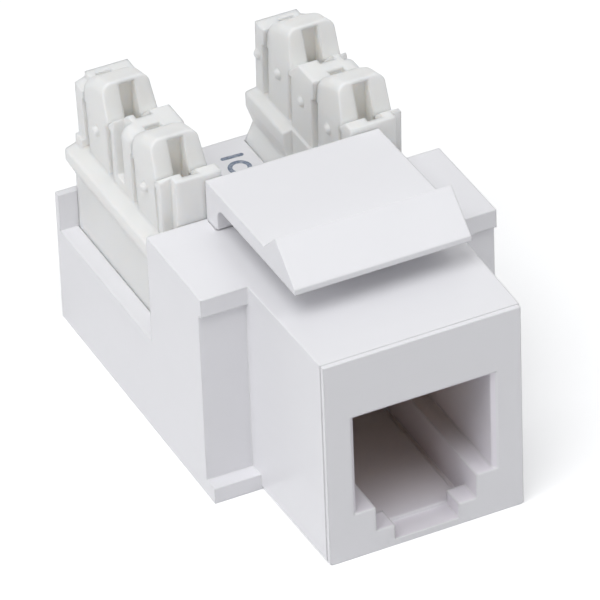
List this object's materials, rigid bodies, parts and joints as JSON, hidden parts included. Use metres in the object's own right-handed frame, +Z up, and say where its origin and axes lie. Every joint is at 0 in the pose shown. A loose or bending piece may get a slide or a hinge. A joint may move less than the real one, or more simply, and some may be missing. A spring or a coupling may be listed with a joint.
{
  "type": "keystone jack",
  "caption": "White snap-in keystone jack with a stepped modular plug opening, a sprung latch arm and two rows of punch-down wire terminals behind the flange.",
  "frame": {"origin": "middle of the footprint on the flat underside, halfway between the plug face and the rear wall", "axes": "+Z up out of the latch side, -Y out of the plug opening, +X to the right when looking into the opening from behind the plug"},
  "size_m": [0.0218, 0.034, 0.0214],
  "materials": {
    "housing_white": "moulded ABS, satin gloss",
    "terminal_white": "moulded polycarbonate, warm white, satin",
    "carrier_grey": "moulded PBT, dark",
    "board_green": "glass-fibre board with solder mask",
    "contact_gold": "gold-plated phosphor bronze wire",
    "blade_tin": "tin-plated phosphor bronze strip"
  },
  "bodies": {
    "body": {"housing": "housing_white", "terminal_block_left": "terminal_white", "terminal_block_right": "terminal_white", "contact_carrier": "carrier_grey", "contact_guide": "carrier_grey", "circuit_board": "board_green", "bottom_cover": "housing_white", "contact_wire_1": "contact_gold", "contact_wire_2": "contact_gold", "contact_wire_3": "contact_gold", "contact_wire_4": "contact_gold", "contact_wire_5": "contact_gold", "contact_wire_6": "contact_gold", "terminal_blade_1": "blade_tin", "terminal_blade_2": "blade_tin", "terminal_blade_3": "blade_tin", "terminal_blade_4": "blade_tin", "terminal_blade_5": "blade_tin", "terminal_blade_6": "blade_tin"},
    "latch": {"latch_arm": "housing_white"}
  },
  "joints": [
    {"name": "latch_press", "type": "hinge", "parent": "body", "child": "latch", "pos_m": [0, 0.0009, 0.016], "axis": [1, 0, 0], "range_deg": [0, 8.8], "stiffness_Nm_per_rad": 0.9}
  ]
}
